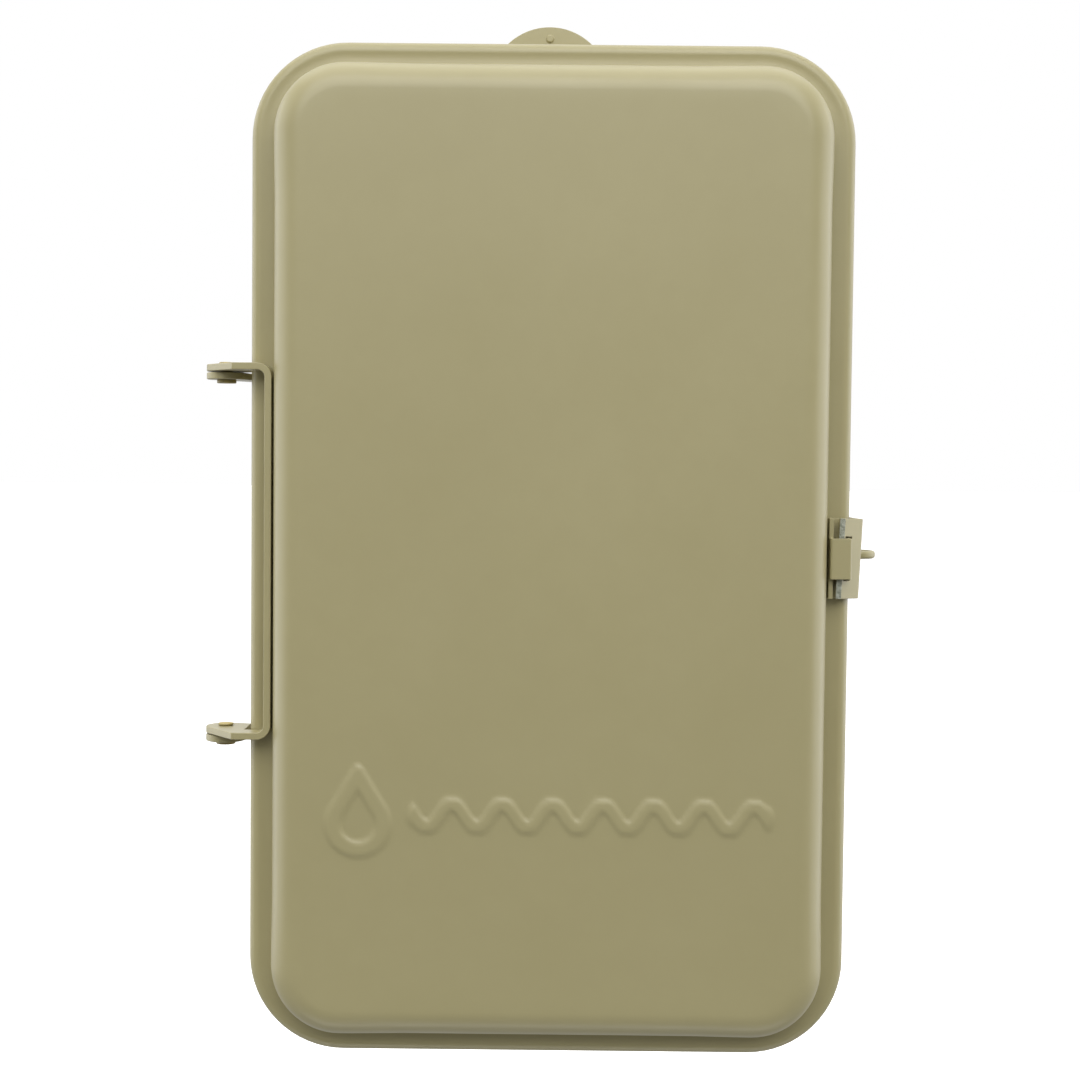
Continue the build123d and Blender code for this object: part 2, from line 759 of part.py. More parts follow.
with BuildPart() as motor_nuts:
    places = [(dial_x - motor_ear_x, motor_z), (dial_x + motor_ear_x, motor_z)]
    back = chassis_depth - chassis_t - motor_ear_t
    with BuildSketch(Plane.XZ.offset(back - 2)):
        with Locations(*places):
            RegularPolygon(3.2, 6)
    extrude(amount=2)
    with BuildSketch(Plane.XZ.offset(back)):
        with Locations(*places):
            Circle(motor_stud_r)
    extrude(amount=motor_ear_t)
export(motor_nuts.part, "motor_nuts")

# ======== 14 day wheel ========

to_dial = math.degrees(math.atan2(dial_z - day_z, dial_x - day_x))
with BuildPart() as day_wheel:
    outline = toothed_outline(day_teeth, day_tip_r, day_root_r, 1.0, 2.6, to_dial + 180.0 / day_teeth)
    with BuildSketch(Plane.XZ.offset(finger_depth)):
        with BuildLine():
            Polyline(*[(day_x + u, day_z + v) for u, v in outline], close=True)
        make_face()
    extrude(amount=finger_t)
    with BuildSketch(Plane.XZ.offset(finger_depth + finger_t)):
        with Locations((day_x, day_z)):
            Circle(day_disc_r)
    extrude(amount=day_disc_t)
    with BuildSketch(Plane.XZ.offset(chassis_depth + 0.4)):
        with Locations((day_x, day_z)):
            Circle(day_boss_r)
    extrude(amount=finger_depth - chassis_depth - 0.4)
    with BuildSketch(Plane.XZ.offset(chassis_depth)):
        with Locations((day_x, day_z)):
            Circle(stud_r + running)
    extrude(amount=20, mode=Mode.SUBTRACT)
    with BuildSketch(Plane.XZ.offset(finger_depth + finger_t)):
        with Locations((day_x, day_z)):
            with PolarLocations(day_pin_ring, day_teeth):
                Circle(day_pin_r)
    extrude(amount=day_disc_t, mode=Mode.SUBTRACT)
export(day_wheel.part, "day_wheel")

day_face = finger_depth + finger_t + day_disc_t
with BuildPart() as day_pins:
    with BuildSketch(Plane.XZ.offset(day_face - day_disc_t)):
        with Locations((day_x, day_z)):
            with PolarLocations(day_pin_ring, day_teeth):
                Circle(day_pin_r)
    extrude(amount=day_disc_t + 2)
    with BuildSketch(Plane.XZ.offset(day_face + 1)):
        with Locations((day_x, day_z)):
            with PolarLocations(day_pin_ring, day_teeth):
                Circle(day_pin_r + 0.7)
    extrude(amount=1.2)
export(day_pins.part, "day_pins")

with BuildPart() as day_wheel_stud:
    with BuildSketch(Plane.XZ.offset(chassis_depth - chassis_t - 1)):
        with Locations((day_x, day_z)):
            Circle(stud_neck_r)
    extrude(amount=chassis_t + 1)
    with BuildSketch(Plane.XZ.offset(chassis_depth)):
        with Locations((day_x, day_z)):
            Circle(stud_r)
    extrude(amount=day_face + 0.3 - chassis_depth)
    with BuildSketch(Plane.XZ.offset(day_face + 0.3)):
        with Locations((day_x, day_z)):
            Circle(4.6)
            Rectangle(12, 1.0, mode=Mode.SUBTRACT)
    extrude(amount=1.4)
export(day_wheel_stud.part, "day_wheel_stud")

# ======== switch lever ========

handle_end = polar(lever_x, lever_z, handle_r, handle_angle)
with BuildPart() as switch_lever:
    with BuildSketch(Plane.XZ.offset(lever_depth)):
        with Locations((lever_x, lever_z)):
            Circle(7)
        with BuildLine():
            Line((lever_x, lever_z), handle_end)
        trace(line_width=6)
        with BuildLine():
            Line((lever_x, lever_z), polar(lever_x, lever_z, 20, trip_arm_angle))
        trace(line_width=4)
        with Locations(handle_end):
            Circle(3)
        with Locations((lever_x, lever_z)):
            Circle(lever_arbor_r, mode=Mode.SUBTRACT)
    extrude(amount=lever_t)
export(switch_lever.part, "switch_lever")

with BuildPart() as lever_grip:
    with BuildSketch(Plane.XZ.offset(lever_depth + lever_t)):
        with Locations(handle_end):
            Circle(4.5)
    extrude(amount=9, taper=8)
    fillet(lever_grip.faces().sort_by(Axis.Y)[0].edges(), 1.5)
export(lever_grip.part, "lever_grip")

with BuildPart() as lever_arbor:
    with BuildSketch(Plane.XZ.offset(lever_back)):
        with Locations((lever_x, lever_z)):
            Circle(lever_arbor_r)
    extrude(amount=lever_depth + lever_t - lever_back + 1)
    with BuildSketch(Plane.XZ.offset(lever_depth + lever_t)):
        with Locations((lever_x, lever_z)):
            Circle(4.2)
    extrude(amount=1.2)
export(lever_arbor.part, "lever_arbor")

with BuildPart() as switch_rocker:
    # insulating tail on the arbor behind the plate, which pushes the contact leaves
    with BuildSketch(Plane.XZ.offset(rocker_back)):
        with Locations((lever_x, lever_z)):
            Circle(6)
        with Locations((lever_x, lever_z - rocker_drop / 2)):
            Rectangle(4, rocker_drop)
        with Locations((lever_x, lever_z - rocker_drop)):
            Circle(2)
        with Locations((lever_x, lever_z)):
            Circle(lever_arbor_r, mode=Mode.SUBTRACT)
    extrude(amount=rocker_w)
export(switch_rocker.part, "switch_rocker")

with BuildPart() as contact_leaves:
    for depth in contact_layers:
        with BuildSketch(Plane.XZ.offset(depth)):
            with Locations((contact_x, (contact_root_z + leaf_lift + contact_tip_z) / 2)):
                Rectangle(leaf_t, contact_tip_z - contact_root_z - leaf_lift)
        extrude(amount=leaf_w)
        with BuildSketch(Plane.YZ.offset(contact_x - leaf_t / 2 - 1)):
            with Locations((-depth - leaf_w / 2, contact_tip_z - 4)):
                Circle(button_r)
        extrude(amount=1)
export(contact_leaves.part, "contact_leaves")

post_x = contact_x - leaf_t / 2 - 1 - post_gap
with BuildPart() as fixed_contacts:
    for depth in contact_layers:
        with BuildSketch(Plane.XZ.offset(depth)):
            with Locations((post_x - 1 - post_t / 2, (contact_root_z + contact_tip_z) / 2)):
                Rectangle(post_t, contact_tip_z - contact_root_z)
        extrude(amount=leaf_w)
        with BuildSketch(Plane.YZ.offset(post_x - 1)):
            with Locations((-depth - leaf_w / 2, contact_tip_z - 4)):
                Circle(button_r)
        extrude(amount=1)
export(fixed_contacts.part, "fixed_contacts")

with BuildPart() as contact_block:
    with BuildSketch(Plane.XZ.offset(contact_block_back)):
        with Locations((contact_x + 2, contact_root_z - 7)):
            RectangleRounded(28, 14, 1.5)
    extrude(amount=chassis_depth - chassis_t - contact_block_back)
export(contact_block.part, "contact_block")

# ======== terminals ========

block_place = (0, terminal_z)
step_depth = sheet + base_t
clamp_depth = step_depth + terminal_step_t
clamp_t = 1.2
screw_places = [((k - (terminal_count - 1) / 2) * terminal_pitch, terminal_z) for k in range(terminal_count)]
with BuildPart() as terminal_block:
    with BuildSketch(Plane.XZ.offset(sheet)):
        with Locations(block_place):
            RectangleRounded(terminal_w, terminal_h, 2)
    extrude(amount=base_t)
    with BuildSketch(Plane.XZ.offset(step_depth)):
        with Locations(block_place):
            Rectangle(terminal_pitch * terminal_count + terminal_wall, terminal_h - 4)
    extrude(amount=terminal_step_t)
    with BuildSketch(Plane.XZ.offset(clamp_depth)):
        for k in range(terminal_count + 1):
            with Locations(((k - terminal_count / 2) * terminal_pitch, terminal_z)):
                Rectangle(terminal_wall, terminal_h - 4)
    extrude(amount=terminal_depth - clamp_depth)
    with BuildSketch(Plane.XZ.offset(sheet)):
        with Locations(*block_screw_places):
            Circle(screw_r + 0.2)
    extrude(amount=base_t, mode=Mode.SUBTRACT)
    with BuildSketch(Plane.XZ.offset(step_depth)):
        with Locations(*screw_places):
            Circle(terminal_screw_r)
    extrude(amount=terminal_step_t, mode=Mode.SUBTRACT)
export(terminal_block.part, "terminal_block")

with BuildPart() as terminal_clamps:
    with BuildSketch(Plane.XZ.offset(clamp_depth)):
        with Locations(*screw_places):
            Rectangle(8.4, 14)
            Circle(terminal_screw_r, mode=Mode.SUBTRACT)
    extrude(amount=clamp_t)
export(terminal_clamps.part, "terminal_clamps")

with BuildPart() as terminal_screws:
    with BuildSketch(Plane.XZ.offset(step_depth + 1)):
        with Locations(*screw_places):
            Circle(terminal_screw_r)
    extrude(amount=clamp_depth + clamp_t - step_depth - 1)
    with BuildSketch(Plane.XZ.offset(clamp_depth + clamp_t)):
        with Locations(*screw_places):
            Circle(3.4)
            Rectangle(8, screw_slot, mode=Mode.SUBTRACT)
    extrude(amount=2.0)
    with BuildSketch(Plane.XZ.offset(clamp_depth + clamp_t)):
        with Locations(*screw_places):
            Circle(3.2)
    extrude(amount=1.1)
export(terminal_screws.part, "terminal_screws")

export(pan_head_screws(block_screw_places, sheet + base_t, screw_tip), "terminal_block_screws")
export(pan_head_screws([(ground_x, ground_z)], sheet, screw_tip), "ground_screw")


def lead(start, end, bend):
    """A wire that runs down from start, across at a bend height, and down to its terminal."""
    path = FilletPolyline(
        start,
        (start[0], start[1], bend + 8),
        (end[0], end[1], bend - 8),
        end,
        radius=lead_bend_r,
    )
    ring = Plane(origin=start, z_dir=(0, 0, -1)) * Circle(lead_r)
    return sweep(ring, path=path)


clamp_top = terminal_z + 7
lead_depth = clamp_depth + clamp_t + 1.4 + lead_r
motor_bottom = motor_z - motor_r
lead_ends = [screw_places[2][0], screw_places[3][0]]
motor_lead_starts = [dial_x - 4, dial_x + 4]
leads = [
    lead((x0, -lead_start_depth, motor_bottom + 0.6), (x1, -lead_depth, clamp_top), lead_bend_z)
    for x0, x1 in zip(motor_lead_starts, lead_ends)
]
export(Compound(children=leads), "motor_leads")
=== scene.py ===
import json
import math

import bmesh
import bpy
from mathutils import Euler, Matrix, Vector, geometry, noise


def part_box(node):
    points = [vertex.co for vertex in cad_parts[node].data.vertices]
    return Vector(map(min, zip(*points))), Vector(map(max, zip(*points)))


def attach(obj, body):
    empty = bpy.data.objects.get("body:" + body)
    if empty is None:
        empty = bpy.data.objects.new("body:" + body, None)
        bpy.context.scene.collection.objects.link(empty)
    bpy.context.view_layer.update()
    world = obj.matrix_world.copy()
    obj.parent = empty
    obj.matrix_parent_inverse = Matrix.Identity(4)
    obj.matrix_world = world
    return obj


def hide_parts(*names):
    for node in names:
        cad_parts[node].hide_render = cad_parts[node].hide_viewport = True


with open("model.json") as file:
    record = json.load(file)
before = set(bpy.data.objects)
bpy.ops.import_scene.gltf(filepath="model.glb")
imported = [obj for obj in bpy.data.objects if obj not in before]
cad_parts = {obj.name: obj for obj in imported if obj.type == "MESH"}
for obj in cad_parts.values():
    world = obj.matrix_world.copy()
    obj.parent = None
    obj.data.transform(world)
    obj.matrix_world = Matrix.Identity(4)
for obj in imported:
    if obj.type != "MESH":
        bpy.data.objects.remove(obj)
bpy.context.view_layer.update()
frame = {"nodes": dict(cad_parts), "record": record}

nodes = frame["nodes"]
scene = bpy.context.scene
scene.view_settings.view_transform = "Standard"
MM = 0.001


def mm(*values):
    """Millimetres to a vector in metres."""
    return Vector(values) * MM


# ---------------------------------------------------------------- camera

camera_data = bpy.data.cameras.new("camera")
camera_data.sensor_width = 36
camera_data.lens = 60.5
camera = bpy.data.objects.new("camera", camera_data)
camera.location = mm(-1.5, -577.5, 25.0)
look_down = 2.47
look_left = 0.14
roll = 0.57
turn = Euler((math.radians(90 - look_down), 0, math.radians(look_left))).to_matrix()
camera.rotation_euler = (turn @ Euler((0, 0, math.radians(roll))).to_matrix()).to_euler()
scene.collection.objects.link(camera)
scene.camera = camera

# ---------------------------------------------------------------- node helpers


class Shade:
    """A small builder for one procedural material."""

    def __init__(self, name):
        self.material = bpy.data.materials.new(name)
        self.material.use_nodes = True
        self.tree = self.material.node_tree
        self.bsdf = self.tree.nodes["Principled BSDF"]
        coords = self.add("ShaderNodeTexCoord")
        self.place = coords.outputs["Object"]

    def add(self, kind, **settings):
        node = self.tree.nodes.new(kind)
        for key, value in settings.items():
            setattr(node, key, value)
        return node

    def link(self, out, socket):
        self.tree.links.new(out, socket)

    def noise(self, scale, detail=3.0, rough=0.5, stretch=None):
        """Noise in cycles per metre, from 0 to 1."""
        node = self.add("ShaderNodeTexNoise")
        node.inputs["Scale"].default_value = scale
        node.inputs["Detail"].default_value = detail
        node.inputs["Roughness"].default_value = rough
        place = self.place
        if stretch:
            squeeze = self.add("ShaderNodeMapping")
            squeeze.inputs["Scale"].default_value = stretch
            self.link(place, squeeze.inputs["Vector"])
            place = squeeze.outputs["Vector"]
        self.link(place, node.inputs["Vector"])
        return node.outputs["Fac"]

    def specks(self, scale, size, randomness=1.0):
        """1 at scattered dots, 0 between them."""
        cells = self.add("ShaderNodeTexVoronoi")
        cells.inputs["Scale"].default_value = scale
        cells.inputs["Randomness"].default_value = randomness
        self.link(self.place, cells.inputs["Vector"])
        return self.span(cells.outputs["Distance"], size, 0.0)

    def span(self, value, low, high, to_low=0.0, to_high=1.0):
        node = self.add("ShaderNodeMapRange")
        node.inputs["From Min"].default_value = low
        node.inputs["From Max"].default_value = high
        node.inputs["To Min"].default_value = to_low
        node.inputs["To Max"].default_value = to_high
        self.link(value, node.inputs["Value"])
        return node.outputs["Result"]

    def math(self, operation, a, b):
        node = self.add("ShaderNodeMath", operation=operation)
        for value, socket in ((a, node.inputs[0]), (b, node.inputs[1])):
            if isinstance(value, (int, float)):
                socket.default_value = value
            else:
                self.link(value, socket)
        return node.outputs[0]

    def mix(self, factor, a, b):
        """Mixes two colours; each is a tuple or a socket."""
        node = self.add("ShaderNodeMix", data_type="RGBA")
        self.link(factor, node.inputs["Factor"])
        for value, socket in ((a, node.inputs[6]), (b, node.inputs[7])):
            if isinstance(value, tuple):
                socket.default_value = (*value, 1.0)
            else:
                self.link(value, socket)
        return node.outputs[2]

    def colour(self, value):
        if isinstance(value, tuple):
            self.bsdf.inputs["Base Color"].default_value = (*value, 1.0)
        else:
            self.link(value, self.bsdf.inputs["Base Color"])

    def rough(self, value):
        if isinstance(value, float):
            self.bsdf.inputs["Roughness"].default_value = value
        else:
            self.link(value, self.bsdf.inputs["Roughness"])

    def bump(self, height, strength, distance):
        node = self.add("ShaderNodeBump")
        node.inputs["Strength"].default_value = strength
        node.inputs["Distance"].default_value = distance
        self.link(height, node.inputs["Height"])
        self.link(node.outputs["Normal"], self.bsdf.inputs["Normal"])

    def set(self, **values):
        for key, value in values.items():
            self.bsdf.inputs[key.replace("_", " ")].default_value = value


# ---------------------------------------------------------------- materials


def enamel():
    """Semi-gloss beige enamel on sheet steel, with faint orange peel and dust nibs."""
    m = Shade("beige_enamel")
    cloud = m.span(m.noise(9, 4), 0.3, 0.7)
    fine = m.span(m.noise(160, 3), 0.35, 0.65)
    tone = m.mix(cloud, (0.333, 0.297, 0.152), (0.350, 0.313, 0.162))
    tone = m.mix(m.math("MULTIPLY", fine, 0.25), tone, (0.322, 0.286, 0.145))
    nib = m.specks(210, 0.035)
    chosen = m.span(m.noise(55, 2), 0.60, 0.66)
    nibs = m.math("MULTIPLY", nib, chosen)
    tone = m.mix(m.math("MULTIPLY", nibs, 0.55), tone, (0.20, 0.17, 0.09))
    m.colour(tone)
    m.rough(m.span(m.noise(38, 4), 0.3, 0.7, 0.36, 0.45))
    peel = m.noise(420, 2, 0.5)
    height = m.math("ADD", m.math("MULTIPLY", peel, 0.35), m.math("MULTIPLY", nibs, 0.8))
    m.bump(height, 0.10, 0.0004)
    m.set(IOR=1.5, Coat_Weight=0.25, Coat_Roughness=0.28)
    return m.material


def galvanised(name="galvanised", tint=(0.50, 0.51, 0.50)):
    """Zinc on sheet steel: soft spangle, fine scratches, a little white bloom."""
    m = Shade(name)
    cells = m.add("ShaderNodeTexVoronoi")
    cells.inputs["Scale"].default_value = 170
    m.link(m.place, cells.inputs["Vector"])
    spangle = m.span(cells.outputs["Color"], 0.2, 0.8)
    dark = tuple(0.80 * t for t in tint)
    tone = m.mix(m.math("MULTIPLY", spangle, 0.6), tint, dark)
    bloom = m.span(m.noise(45, 5, 0.6), 0.55, 0.75)
    tone = m.mix(m.math("MULTIPLY", bloom, 0.5), tone, (0.66, 0.67, 0.66))
    m.colour(tone)
    m.rough(m.span(m.noise(70, 4), 0.3, 0.7, 0.32, 0.50))
    m.bump(m.noise(900, 2, 0.5, (1, 1, 0.08)), 0.12, 0.0003)
    m.set(Metallic=0.9)
    return m.material


def sheared_edge():
    """The bare cut edge of galvanised sheet: grey, torn in short streaks."""
    m = Shade("sheared_edge")
    tear = m.span(m.noise(900, 4, 0.7), 0.35, 0.65)
    tone = m.mix(tear, (0.20, 0.215, 0.165), (0.43, 0.44, 0.37))
    m.colour(tone)
    m.rough(0.55)
    m.bump(tear, 0.5, 0.0004)
    m.set(Metallic=0.55)
    return m.material


def brass(name="brass", tone_a=(0.62, 0.44, 0.15), tone_b=(0.45, 0.30, 0.09)):
    """Brass with slight tarnish and turning marks."""
    m = Shade(name)
    tarnish = m.span(m.noise(220, 4, 0.6), 0.4, 0.7)
    m.colour(m.mix(tarnish, tone_a, tone_b))
    m.rough(m.span(m.noise(350, 3), 0.3, 0.7, 0.24, 0.42))
    m.bump(m.noise(1500, 2), 0.08, 0.0002)
    m.set(Metallic=1.0)
    return m.material


def moulding(name, tone, roughness, gloss=0.5):
    """Moulded plastic or phenolic: slight mottling and a fine moulded skin."""
    m = Shade(name)
    light = tuple(min(1.0, t * 1.25 + 0.004) for t in tone)
    mottle = m.span(m.noise(300, 4, 0.6), 0.35, 0.7)
    m.colour(m.mix(mottle, tone, light))
    m.rough(m.span(m.noise(120, 3), 0.3, 0.7, roughness - 0.05, roughness + 0.08))
    m.bump(m.noise(1600, 2), 0.10, 0.0002)
    m.set(Specular_IOR_Level=gloss)
    return m.material


def painted_brass():
    """Brass rivets painted with the case: bare on top, thin on the rims."""
    m = Shade("painted_brass")
    facing = m.add("ShaderNodeNewGeometry")
    split = m.add("ShaderNodeSeparateXYZ")
    m.link(facing.outputs["Normal"], split.inputs[0])
    worn = m.math("MULTIPLY", m.span(m.noise(900, 4, 0.7), 0.48, 0.62), 0.45)
    bare = m.math("MAXIMUM", m.span(split.outputs["Z"], 0.75, 0.95), worn)
    m.colour(m.mix(bare, (0.30, 0.25, 0.115), (0.56, 0.44, 0.12)))
    m.rough(0.38)
    m.link(m.math("MULTIPLY", bare, 0.8), m.bsdf.inputs["Metallic"])
    return m.material


def printed(name, tone):
    """Satin printed enamel on a dial, slightly aged."""
    m = Shade(name)
    aged = m.span(m.noise(35, 5, 0.6), 0.35, 0.75)
    yellow = (tone[0] * 0.95, tone[1] * 0.90, tone[2] * 0.78)
    m.colour(m.mix(aged, tone, yellow))
    m.rough(m.span(m.noise(90, 3), 0.3, 0.7, 0.34, 0.46))
    m.bump(m.noise(700, 2), 0.06, 0.0002)
    return m.material


paint = enamel()
zinc = galvanised()
cut_edge = sheared_edge()
brass_metal = brass()
black_plastic = moulding("black_phenolic", (0.022, 0.021, 0.020), 0.36)
brown_plastic = moulding("brown_phenolic", (0.075, 0.030, 0.014), 0.34)
red_plastic = moulding("red_plastic", (0.42, 0.030, 0.018), 0.28)
jacket = moulding("wire_jacket", (0.030, 0.030, 0.034), 0.42)
silver = galvanised("silver_facing", (0.72, 0.72, 0.69))
white_print = printed("dial_white", (0.78, 0.77, 0.71))
cream_print = printed("day_cream", (0.72, 0.66, 0.50))
green_zinc = galvanised("green_zinc", (0.035, 0.22, 0.070))
rivet_metal = painted_brass()

by_slot = {
    "case_paint": paint,
    "bare_steel": zinc,
    "brass": brass_metal,
    "white_print": white_print,
    "black_moulding": black_plastic,
    "red_plastic": red_plastic,
    "brown_moulding": brown_plastic,
    "silver_contact": silver,
    "day_print": cream_print,
    "green_screw": green_zinc,
    "lead_jacket": jacket,
}


def dress(obj, material):
    """Gives every material slot of an object one material."""
    if not obj.material_slots:
        obj.data.materials.append(material)
    for slot in obj.material_slots:
        slot.material = material


slot_of = {entry["node"]: entry["material_slot"] for entry in frame["record"]["subparts"]}
for name, obj in nodes.items():
    dress(obj, by_slot[slot_of[name]])
dress(nodes["hinge_rivets"], rivet_metal)


def add_object(name, mesh, material, body, replaced=()):
    """Links a new piece, parents it to the body it rides on and hides the nodes it stands for."""
    obj = bpy.data.objects.new(name, mesh)
    scene.collection.objects.link(obj)
    if material:
        obj.data.materials.append(material)
    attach(obj, body)
    if replaced:
        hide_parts(*replaced)
    return obj


# ---------------------------------------------------------------- door

door_low, door_high = (Vector(corner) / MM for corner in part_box("door_shell"))
DOOR_W = (door_high.x - door_low.x) / 2
DOOR_H = (door_high.z - door_low.z) / 2
SKIRT_Y = door_high.y
EMBLEM_H = 0.5
FACE_Y = door_low.y + EMBLEM_H
CORNER_R = 26.0
SHEET = 1.2
FLANGE_Y = -84.0
RIM_R = 2.6
RIM_DIP = 9.0
GUTTER_R = 9.5
GUTTER_RISE = 11.0
CREASE_R = 0.9
DRAFT = 3.0
EDGE_R = 8.0
CREASE_INSET = 6.9
CORNER_STEPS = 16
LONG_STEPS = 56
SHORT_STEPS = 32


def arc(cx, cy, radius, start, end, steps):
    """Points of an arc in the profile plane, angles in degrees."""
    points = []
    for k in range(steps + 1):
        a = math.radians(start + (end - start) * k / steps)
        points.append((cx + radius * math.cos(a), cy + radius * math.sin(a)))
    return points


def bend(points, start, end, radius, steps):
    """Carries a section on along an arc that turns from one slope to another, in degrees."""
    u, y = points[-1]
    a = math.radians(start)
    cu, cy = u + radius * math.sin(a), y - radius * math.cos(a)
    for k in range(1, steps + 1):
        a = math.radians(start + (end - start) * k / steps)
        points.append((cu - radius * math.sin(a), cy + radius * math.cos(a)))


def door_profile():
    """Outer section from the skirt's back edge to the flat face: (inset from the edge, y)."""
    points = [(0.0, SKIRT_Y), (0.0, SKIRT_Y - 2.0), (0.0, SKIRT_Y - 4.0)]
    points += arc(RIM_R, FLANGE_Y + RIM_R, RIM_R, 180, 270 + RIM_DIP, 12)
    # shallow gutter, then a tight crease and the pan's wall, which leans in
    bend(points, RIM_DIP, -GUTTER_RISE, GUTTER_R, 8)
    bend(points, -GUTTER_RISE, DRAFT - 90, CREASE_R, 6)
    u, y = points[-1]
    a = math.radians(DRAFT)
    edge_y = FACE_Y + EDGE_R * (1 - math.sin(a))
    for k in (1, 2, 3):
        points.append((u + (y - edge_y) * math.tan(a) * k / 3, y + (edge_y - y) * k / 3))
    u = points[-1][0]
    points += arc(u + EDGE_R * math.cos(a), FACE_Y + EDGE_R, EDGE_R, 180 + DRAFT, 270, 16)[1:]
    return points


def profile_inside(points):
    """The same section moved in by the sheet's thickness."""
    inner = []
    for k, (u, y) in enumerate(points):
        before = points[max(k - 1, 0)]
        after = points[min(k + 1, len(points) - 1)]
        direction = Vector((after[0] - before[0], after[1] - before[1])).normalized()
        inner.append((u - direction.y * SHEET, y + direction.x * SHEET))
    return inner


def outline(inset):
    """One closed ring of a rounded rectangle with a fixed number of points: (x, z, normal x, normal z)."""
    half_w, half_h = DOOR_W - inset, DOOR_H - inset
    radius = CORNER_R - inset
    corners = []
    for side_x, side_z, start in ((1, 1, 0), (-1, 1, 90), (-1, -1, 180), (1, -1, 270)):
        cx, cz = side_x * (half_w - radius), side_z * (half_h - radius)
        block = []
        for k in range(CORNER_STEPS + 1):
            a = math.radians(start + 90 * k / CORNER_STEPS)
            block.append((cx + radius * math.cos(a), cz + radius * math.sin(a), math.cos(a), math.sin(a)))
        corners.append(block)
    points = []
    for k, steps in enumerate((SHORT_STEPS, LONG_STEPS, SHORT_STEPS, LONG_STEPS)):
        end, following = corners[k][-1], corners[(k + 1) % 4][0]
        points += corners[k]
        for s in range(1, steps):
            t = s / steps
            points.append(tuple(end[i] + (following[i] - end[i]) * t for i in range(4)))
    return points


def smooth(low, high, value):
    t = min(max((value - low) / (high - low), 0.0), 1.0)
    return t * t * (3 - 2 * t)


CORNER_SWELL = 0.25
SWELL_FULL, SWELL_REACH = 6.0, 26.0
SWELL_START, SWELL_FADE, SWELL_END = 5.2, 9.0, 15.0
SWELL_CENTRE = 20


def swell(x, z, inset):
    """How far the drawn pan's wall stands out near its corners."""
    depth_part = smooth(SWELL_START, CREASE_INSET, inset) * (1 - smooth(SWELL_FADE, SWELL_END, inset))
    along_x = max(DOOR_W - SWELL_CENTRE - abs(x), 0)
    along_z = max(DOOR_H - SWELL_CENTRE - abs(z), 0)
    return CORNER_SWELL * depth_part * (1 - smooth(SWELL_FULL, SWELL_REACH, math.hypot(along_x, along_z)))


# plain raised emblem: an outlined drop and a long wave
DROP_X, DROP_Z = -50.5, -72.0
DROP_R, DROP_TIP_R, DROP_RISE, DROP_HALF_T = 8.4, 0.8, 14.5, 1.6
WAVE_X, WAVE_Z, WAVE_HALF_W = 11.5, -69.5, 47.0
WAVE_H, WAVE_LENGTH, WAVE_HALF_T = 2.9, 13.43, 1.25
SLOPE_IN, SLOPE_OUT = -0.3, 1.2


def drop_distance(x, z):
    """Signed distance to a drop made of a large and a small circle with their tangents."""
    x = abs(x - DROP_X)
    z = z - DROP_Z
    b = (DROP_R - DROP_TIP_R) / DROP_RISE
    a = math.sqrt(1 - b * b)
    k = -b * x + a * z
    if k < 0:
        return math.hypot(x, z) - DROP_R
    if k > a * DROP_RISE:
        return math.hypot(x, z - DROP_RISE) - DROP_TIP_R
    return x * a + z * b - DROP_R


def wave_distance(x, z):
    """Signed distance, near enough, to a raised wavy line."""
    turn = 2 * math.pi / WAVE_LENGTH
    along = min(max(x - WAVE_X, -WAVE_HALF_W), WAVE_HALF_W)
    slope = WAVE_H * turn * math.cos(turn * along)
    off = (z - WAVE_Z - WAVE_H * math.sin(turn * along)) / math.sqrt(1 + slope * slope)
    return math.hypot(off, x - WAVE_X - along) - WAVE_HALF_T


def face_rise(x, z):
    """Height of the pressed emblem above the face."""
    ring = abs(drop_distance(x, z) + DROP_HALF_T) - DROP_HALF_T
    wave = wave_distance(x, z)
    return EMBLEM_H * max(1 - smooth(SLOPE_IN, SLOPE_OUT, ring), 1 - smooth(SLOPE_IN, SLOPE_OUT, wave))


def face_points(rim):
    """The rim ring and grid points inside it, as one constrained triangulation."""
    points = [Vector((p[0], p[1])) for p in rim]
    count = len(points)
    inset = door_profile()[-1][0] + 1.5
    half_w, half_h = DOOR_W - inset, DOOR_H - inset
    radius = CORNER_R - inset
    fine_box = (-61.0, 61.5, -83.5, -55.0)
    coarse, fine = 5.0, 0.75

    def inside(x, z):
        dx = max(abs(x) - (half_w - radius), 0)
        dz = max(abs(z) - (half_h - radius), 0)
        return math.hypot(dx, dz) < radius

    steps_x, steps_z = int(half_w / coarse), int(half_h / coarse)
    for i in range(-steps_x, steps_x + 1):
        for j in range(-steps_z, steps_z + 1):
            x, z = i * coarse, j * coarse
            in_fine = fine_box[0] < x < fine_box[1] and fine_box[2] < z < fine_box[3]
            if inside(x, z) and not in_fine:
                points.append(Vector((x, z)))
    nx = int((fine_box[1] - fine_box[0]) / fine)
    nz = int((fine_box[3] - fine_box[2]) / fine)
    for i in range(nx + 1):
        for j in range(nz + 1):
            points.append(Vector((fine_box[0] + i * fine, fine_box[2] + j * fine)))
    edges = [(k, (k + 1) % count) for k in range(count)]
    verts, _, faces, *_ = geometry.delaunay_2d_cdt(points, edges, [], 1, 1e-5)
    return verts, faces, count


